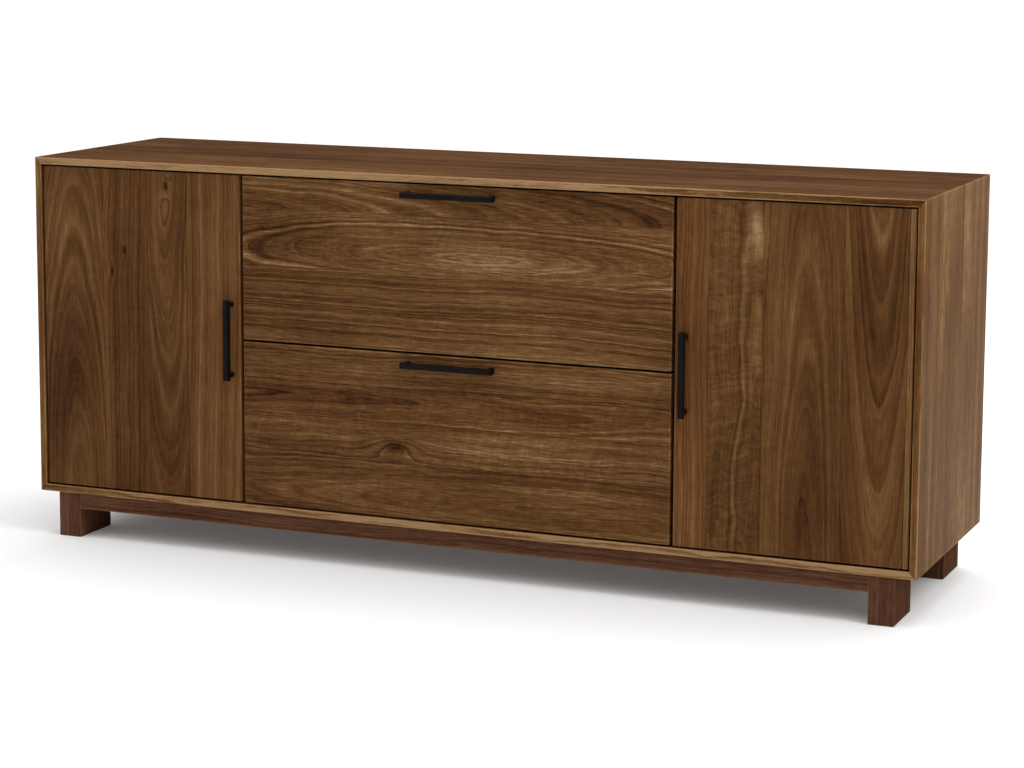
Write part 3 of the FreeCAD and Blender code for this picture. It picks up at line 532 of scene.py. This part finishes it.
back_low, back_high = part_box("back_panel")
back_spots = [(share * (back_high.x - ROW_INSET), back_high.y - SINK_DEPTH, level)
              for share in ROW_SHARES
              for level in (back_low.z + BACK_INSET, back_high.z - BACK_INSET)]
back_spots += [(way * (back_high.x - BACK_INSET), back_high.y - SINK_DEPTH, level)
               for way in (-1, 1) for level in SIDE_LEVELS]
back = merged("back_panel", "case")
sinks = []
for spot in back_spots:
    bpy.ops.mesh.primitive_cylinder_add(vertices=24, radius=SINK_RADIUS, depth=2 * SINK_DEPTH,
                                        rotation=(math.pi / 2, 0, 0),
                                        location=(spot[0], back_high.y, spot[2]))
    sinks.append(bpy.context.object)
bore(back, joined(sinks, "sinks"))
back.data.materials[0] = walnut("back_panel", "Z", "X", BACK_SHEETS, browns=PLY_BROWNS,
                                shows="high", edge_highlight=0.0)
lay(walnut("corner_splines", "Y", "X", BACK_SHEETS, browns=PLY_BROWNS, edge_highlight=0.0),
    "corner_splines")
for ply in ("upper_drawer_floor", "lower_drawer_floor"):
    lay(walnut(ply, "X", "Y", FLOOR_SHEETS, browns=PLY_BROWNS, shows="high", edge_highlight=0.0), ply)


# ---- Drawer boxes ---------------------------------------------------------------------------
# Solid maple, through-dovetailed at the corners and lacquered: pale, close-grained, with faint
# brown lines and a soft sheen.

MAPLE_CREAMS = [(0.0, (0.36, 0.21, 0.105, 1)), (0.4, (0.55, 0.375, 0.215, 1)),
                (0.7, (0.66, 0.480, 0.300, 1)), (1.0, (0.76, 0.600, 0.410, 1))]
MAPLE_BOARDS = [(0.11, 0.10, 0.06, 0.03, 0.05, 0.02, 0.0),
                (0.19, -0.04, 0.09, -0.02, 0.1, 0.0, 0.0),
                (0.27, 0.30, 0.05, 0.02, 0.05, 0.03, 0.0)]
BOX_EASE = 0.0010
for drawer in ("upper", "lower"):
    for way, members in (("Y", ("left_side", "right_side")), ("X", ("box_front", "box_back"))):
        for member in members:
            node = f"{drawer}_drawer_{member}"
            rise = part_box(node)[0].z
            boards = [(edge + rise, heart + rise, *rest) for edge, heart, *rest in MAPLE_BOARDS]
            wall = eased(node, drawer + "_drawer", BOX_EASE, way)
            wall.data.materials[0] = walnut(node, way, "Z", boards, browns=MAPLE_CREAMS, figure=0.4,
                                            lines=0.25, grit=0.22, shift=0.1, edge_highlight=0.0)


# ---- Slides, hinges, catches and the other metal ---------------------------------------------
# Rolled zinc-plated steel slides; black door pivots and plates; nickel-plated magnets, strikes
# and screws; satin aluminium file bars; and black nylon washers on the door pivots.

BRUSH_DEPTH = 0.00003
BAR_EASE = 0.0012
BAR_LEAST = 0.5  # only edges longer than this are rounded
NYLON_BLACKS = [(0.3, (0.010, 0.010, 0.010, 1)), (0.7, (0.018, 0.018, 0.018, 1))]
NYLON_DEPTH = 0.00004


def metal(name, colour, rough, brush, along="Y", mottle=0.12):
    """Bright metal with fine lines along one way and soft mottling."""
    finish = Finish(bpy.data.materials.new(name))
    spot = finish.node("SeparateXYZ", {}, {0: finish.place()})
    stretch = [spot.output(axis) * (40 if axis == along else brush) for axis in "XYZ"]
    line = finish.cloud(finish.vector(*stretch), 2.0, 0.6)
    bloom = finish.cloud(finish.vector(*(spot.output(axis) * 60 for axis in "XYZ")), 3.0)
    dull = tuple(part * 0.72 for part in colour)
    shade = finish.node("ValToRGB", {"stops": [(0.3, (*dull, 1)), (0.7, (*colour, 1))]},
                        {0: line * 0.5 + bloom * 0.5})
    rough = rough + (line - 0.5) * 0.18 + (bloom - 0.5) * mottle
    return finish.surface(shade, rough, line, BRUSH_DEPTH, Metallic=1.0)


zinc = metal("slide_zinc", (0.60, 0.62, 0.63), 0.30, 900.0)
nickel = metal("plate_nickel", (0.58, 0.56, 0.52), 0.26, 700.0, along="X")
aluminium = metal("file_bar_aluminium", (0.72, 0.73, 0.74), 0.34, 1500.0, along="X", mottle=0.05)
for drawer in ("upper", "lower"):
    bars = merged(drawer + "_file_bars", drawer + "_drawer")
    bar_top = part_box(drawer + "_file_bars")[1].z
    round_over(bars, BAR_EASE, lambda one, other: min(one.z, other.z) > bar_top - TOUCH
               and abs(one.x - other.x) > BAR_LEAST)
    bars.data.materials[0] = aluminium
    lay(nickel, drawer + "_pull_screws")
lay(pull_black, "case_pivots", "left_door_plates", "right_door_plates")
lay(nickel, "catch_magnets", "left_catch_strike", "right_catch_strike",
    "left_door_pull_screws", "right_door_pull_screws")
nylon = Finish(bpy.data.materials.new("washer_nylon"))
nylon_grain = nylon.node("TexNoise", {}, {"Vector": nylon.place(), "Scale": 600.0, "Detail": 2.0})
nylon_tint = nylon.node("ValToRGB", {"stops": NYLON_BLACKS}, {0: nylon_grain})
lay(nylon.surface(nylon_tint, 0.5 + nylon_grain * 0.1, nylon_grain, NYLON_DEPTH), "pivot_washers")


# ---- Ball-bearing slides ----------------------------------------------------------------------
# Each slide is three zinc-plated channels bent from strip, one within another. The middle one
# has holes through which a driver reaches the screws of the one behind it.

WEB_FACES = {"case": 0.4011, "middle": 0.3979, "drawer": 0.3884}  # out from the middle
BEND = 0.0012
BEND_LEAST = 0.3  # only edges longer than this, and this near the web's face, are bends
BEND_REACH = 0.0016
ACCESS_RADIUS = 0.0045
ACCESS_SHARES = (0.09, 0.34, 0.66, 0.91)  # of the channel's length
slide_rise = {drawer: sum(limit.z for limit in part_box(drawer + "_slide_case_members")) / 2
              for drawer in ("upper", "lower")}
slide_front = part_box("upper_slide_case_members")[0].y
slide_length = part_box("upper_slide_case_members")[1].y - slide_front
for drawer in ("upper", "lower"):
    for member, body in (("case", "case"), ("middle", drawer + "_slide_middle"),
                         ("drawer", drawer + "_drawer")):
        web = WEB_FACES[member]
        channels = merged(f"{drawer}_slide_{member}_members", body)
        if member == "middle":
            bpy.ops.object.select_all(action="DESELECT")
            for share in ACCESS_SHARES:
                bpy.ops.mesh.primitive_cylinder_add(
                    vertices=28, radius=ACCESS_RADIUS, depth=2 * web + 0.01,
                    rotation=(0, math.pi / 2, 0),
                    location=(0, slide_front + share * slide_length, slide_rise[drawer]))
                bore(channels, bpy.context.object)
        round_over(channels, BEND, lambda one, other: abs(one.y - other.y) > BEND_LEAST
                   and abs(abs(one.x) - web) < BEND_REACH)
        channels.data.materials[0] = zinc


# ---- Ball cages --------------------------------------------------------------------------------
# Thin folded strips that keep the steel balls apart, ten to a row, above and below. Each cage
# runs between two channels at half their relative speed.

# Face of the web, end of the lips and line of the balls, out from the middle
CAGES = {"outer": (0.3992, 0.3915, 0.3945), "inner": (0.3959, 0.38955, 0.39255)}
BALL_RADIUS = 0.0022
CAGE_STEEL = 0.0008
BALLS_IN_ROW = 10


def placed(model, where):
    """A copy of a small part, with a mesh of its own, turned and set where it goes."""
    copy = model.copy()
    copy.data = model.data.copy()
    bpy.context.scene.collection.objects.link(copy)
    copy.data.transform(where)
    return copy


for drawer in ("upper", "lower"):
    for cage, (web, lip, across) in CAGES.items():
        node = f"{drawer}_{cage}_ball_cages"
        low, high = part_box(node)
        rise = slide_rise[drawer]
        row = high.z - rise - BALL_RADIUS
        half = row + CAGE_STEEL / 2
        bpy.ops.object.select_all(action="DESELECT")
        bpy.ops.mesh.primitive_cube_add(
            size=1.0, location=(web - CAGE_STEEL / 2, (low.y + high.y) / 2, rise))
        strip = bpy.context.object
        strip.scale = (CAGE_STEEL, high.y - low.y, 2 * half)
        bpy.ops.object.transform_apply(location=True, rotation=True, scale=True)
        bpy.ops.object.mode_set(mode="EDIT")
        for height in (rise - half + CAGE_STEEL, rise + half - CAGE_STEEL):
            bpy.ops.mesh.select_all(action="SELECT")
            bpy.ops.mesh.bisect(plane_co=(0, 0, height), plane_no=(0, 0, 1))
        bpy.ops.mesh.select_mode(type="FACE")
        pick(strip, "faces", lambda face: face.normal.x < -0.9
             and abs(face.calc_center_median().z - rise) > half - CAGE_STEEL)
        fold = lip - web + CAGE_STEEL
        bpy.ops.mesh.extrude_region_move(TRANSFORM_OT_translate={"value": (fold, 0, 0)})
        bpy.ops.mesh.select_mode(type="VERT")
        bpy.ops.object.mode_set(mode="OBJECT")
        bpy.ops.object.select_all(action="DESELECT")
        bpy.ops.mesh.primitive_ico_sphere_add(subdivisions=2, radius=BALL_RADIUS,
                                              location=(0, 0, 0))
        ball = bpy.context.object
        bpy.ops.object.shade_smooth()
        step = (high.y - low.y) / BALLS_IN_ROW
        balls = [placed(ball, Matrix.Translation((across, low.y + (number + 0.5) * step, level)))
                 for number in range(BALLS_IN_ROW) for level in (rise - row, rise + row)]
        bpy.data.objects.remove(ball)
        joined([strip, *balls], node + "_piece")
        flip = strip.modifiers.new("left_hand", "MIRROR")
        bpy.ops.object.modifier_apply(modifier=flip.name)
        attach(strip, f"{drawer}_{cage}_cages")
        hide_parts(node)
        strip.data.materials.append(zinc)


# ---- Screws ------------------------------------------------------------------------------------
# Nickel-plated cross-head screws hold the slides to the partitions and drawer sides, the pivot
# plates to the doors and the plywood back in its rabbet. Heads are turned, crosses punched.

HEAD_RADIUS = 0.0034
PAN_HEIGHT, PAN_PUNCH = 0.0014, 0.0009
FLUSH_HEIGHT, FLUSH_PUNCH = 0.00022, 0.00015
DOME = 0.7  # of the head's height
CROSS_HALF, CROSS_REACH = 0.10, 0.55  # of the head's radius
DRAWER_MEMBER_FACE, CASE_MEMBER_FACE = 0.3898, 0.3997  # out from the middle
DRAWER_SCREW_SHARES, CASE_SCREW_SHARES = (0.09, 0.42, 0.66), (0.09, 0.34, 0.91)
PLATE_SCREWS = (0.7718, 0.7900)  # out from the middle


def screw(name, height, punch):
    """A screw head on the floor: a low dome with a cross punched in its crown."""
    bpy.ops.object.select_all(action="DESELECT")
    bpy.ops.mesh.primitive_cylinder_add(vertices=20, radius=HEAD_RADIUS, depth=height,
                                        location=(0, 0, height / 2))
    head = bpy.context.object
    head.name = name
    bpy.ops.object.transform_apply(location=True, rotation=True, scale=True)
    bpy.ops.object.mode_set(mode="EDIT")
    bpy.ops.mesh.select_mode(type="EDGE")
    pick(head, "edges", lambda edge: all(end.co.z > height - MERGE for end in edge.verts))
    bpy.ops.mesh.bevel(offset=height * DOME, segments=3, profile=0.6)
    bpy.ops.mesh.select_mode(type="FACE")
    slot_half, reach = HEAD_RADIUS * CROSS_HALF, HEAD_RADIUS * CROSS_REACH

    def on_crown(face):
        return face.normal.z > 0.99 and face.calc_center_median().z > height - MERGE

    def in_cross(face):
        near, far = sorted(abs(part) for part in face.calc_center_median().xy)
        return on_crown(face) and near < slot_half and far < reach

    for way in ((1, 0, 0), (0, 1, 0)):
        for offset in (-reach, -slot_half, slot_half, reach):
            pick(head, "faces", on_crown)
            bpy.ops.mesh.bisect(plane_co=[offset * part for part in way], plane_no=way)
    pick(head, "faces", in_cross)
    bpy.ops.mesh.extrude_region_move(TRANSFORM_OT_translate={"value": (0, 0, -punch)})
    bpy.ops.mesh.select_mode(type="VERT")
    bpy.ops.object.mode_set(mode="OBJECT")
    bpy.ops.object.shade_smooth_by_angle(angle=math.radians(35))
    head.data.materials.append(nickel)
    return head


def drive(head, body, places):
    """Copies of a screw head, each at its spot and facing its way, as one piece of that body."""
    screws = [placed(head, Matrix.Translation(spot)
                     @ Vector(toward).to_track_quat("Z", "Y").to_matrix().to_4x4())
              for spot, toward in places]
    row = joined(screws, f"{body}_{head.name}s")
    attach(row, body)


pan_head = screw("slide_screw", PAN_HEIGHT, PAN_PUNCH)
flat_head = screw("flush_screw", FLUSH_HEIGHT, FLUSH_PUNCH)
case_places = [(spot, (0, 1, 0)) for spot in back_spots]
for drawer in ("upper", "lower"):
    rise = slide_rise[drawer]
    drive(pan_head, drawer + "_drawer",
          [((way * DRAWER_MEMBER_FACE, slide_front + share * slide_length, rise), (way, 0, 0))
           for way in (-1, 1) for share in DRAWER_SCREW_SHARES])
    case_places += [((way * CASE_MEMBER_FACE, slide_front + share * slide_length, rise),
                     (-way, 0, 0)) for way in (-1, 1) for share in CASE_SCREW_SHARES]
drive(flat_head, "case", case_places)
for hand, way in (("left", -1), ("right", 1)):
    bottom_edge, top_edge = (limit.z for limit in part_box(hand + "_door"))
    middle = sum(limit.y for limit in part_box(hand + "_door_plates")) / 2
    drive(flat_head, hand + "_door",
          [((way * across, middle, edge), (0, 0, facing)) for across in PLATE_SCREWS
           for edge, facing in ((bottom_edge, -1), (top_edge, 1))])
bpy.data.objects.remove(pan_head)
bpy.data.objects.remove(flat_head)


# ---- Shelf pins --------------------------------------------------------------------------------
# Turned steel pins with rounded ends, half in the wall and half out, two at each end of each
# shelf. They lift out and go into another row when a shelf is moved.

PIN_RADIUS = 0.0025
PIN_LENGTH = 0.0160
PIN_ROUND = 0.0009
pin_low, pin_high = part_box("shelf_pins")
bpy.ops.object.select_all(action="DESELECT")
bpy.ops.mesh.primitive_cylinder_add(vertices=24, radius=PIN_RADIUS, depth=PIN_LENGTH,
                                    rotation=(0, math.pi / 2, 0))
pin = bpy.context.object
bpy.ops.object.transform_apply(location=True, rotation=True, scale=True)
round_over(pin, PIN_ROUND, lambda one, other: abs(one.x - other.x) < MERGE)
turned_pins = joined(
    [placed(pin, Matrix.Translation((way * wall, run, pin_low.z + PIN_RADIUS)))
     for wall in (pin_high.x - PIN_LENGTH / 2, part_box("right_partition")[1].x) for way in (-1, 1)
     for run in (pin_low.y + PIN_RADIUS, pin_high.y - PIN_RADIUS)], "turned_shelf_pins")
bpy.data.objects.remove(pin)
turned_pins.data.materials.append(nickel)
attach(turned_pins, "case")
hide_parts("shelf_pins")


# ---- The studio -------------------------------------------------------------------------------
# A plain white floor, faintly lit from beneath so that shadows stay soft, under a dome that is
# dimmer near the horizon, a wide light overhead and one at the right, and the camera.

PAPER_WHITES = [(0.3, (0.84, 0.84, 0.84, 1)), (0.7, (0.85, 0.85, 0.85, 1))]
# Name, width, watts, place and aim
LIGHTS = [("overhead_light", 2.6, 34.0, (0.3, 1.5, 3.2), (0.0, 0.0, 0.3)),
          ("right_light", 1.8, 62.0, (3.4, -1.0, 3.6), (0.8, 0.0, 0.4))]
CAMERA_PAN, CAMERA_TILT, CAMERA_ROLL = 22.632, 7.998, 0.309  # degrees
bpy.context.scene.view_settings.view_transform = "Standard"
bpy.ops.mesh.primitive_plane_add(size=400.0, location=(0, 100, 0))
floor = bpy.context.object
floor.name = "studio_floor"
paper = Finish(bpy.data.materials.new("studio_paper"))
paper_tone = paper.node("TexNoise", {}, {"Vector": paper.place(), "Scale": 0.6, "Detail": 2.0})
paper_white = paper.node("ValToRGB", {"stops": PAPER_WHITES}, {0: paper_tone})
floor.data.materials.append(paper.surface(paper_white, 1.0, Specular_IOR_Level=0.0,
                                          Emission_Color=(1.0, 0.98, 0.97, 1),
                                          Emission_Strength=0.08))

dome = Finish(bpy.data.worlds.new("studio_dome"))
bpy.context.scene.world = dome.owner
sky = dome.node("SeparateXYZ", {}, {0: dome.node("TexCoord", {}, {}, "Generated")})
glow = dome.rise(sky.output("Z"), 0.08, 0.75) * 1.72 + 0.05
dome.node("OutputWorld", {}, {"Surface": dome.node("Background", {}, {"Strength": glow})})

for light_name, size, watts, where, aim in LIGHTS:
    lamp = bpy.data.lights.new(light_name, "AREA")
    lamp.size = size
    lamp.energy = watts
    light = bpy.data.objects.new(light_name, lamp)
    bpy.context.scene.collection.objects.link(light)
    light.location = where
    light.rotation_euler = (Vector(aim) - Vector(where)).to_track_quat("-Z", "Y").to_euler()

camera = bpy.data.objects.new("camera", bpy.data.cameras.new("camera"))
bpy.context.scene.collection.objects.link(camera)
bpy.context.scene.camera = camera
camera.data.sensor_fit = "HORIZONTAL"
camera.data.lens = 93.89
camera.data.shift_x = -0.0052
camera.data.shift_y = -0.1045
camera.location = (1.8725, -4.4037, 1.1816)
turn = (Matrix.Rotation(math.radians(CAMERA_PAN), 3, "Z")
        @ Matrix.Rotation(math.radians(90 - CAMERA_TILT), 3, "X")
        @ Matrix.Rotation(math.radians(CAMERA_ROLL), 3, "Z"))
camera.rotation_euler = turn.to_euler()
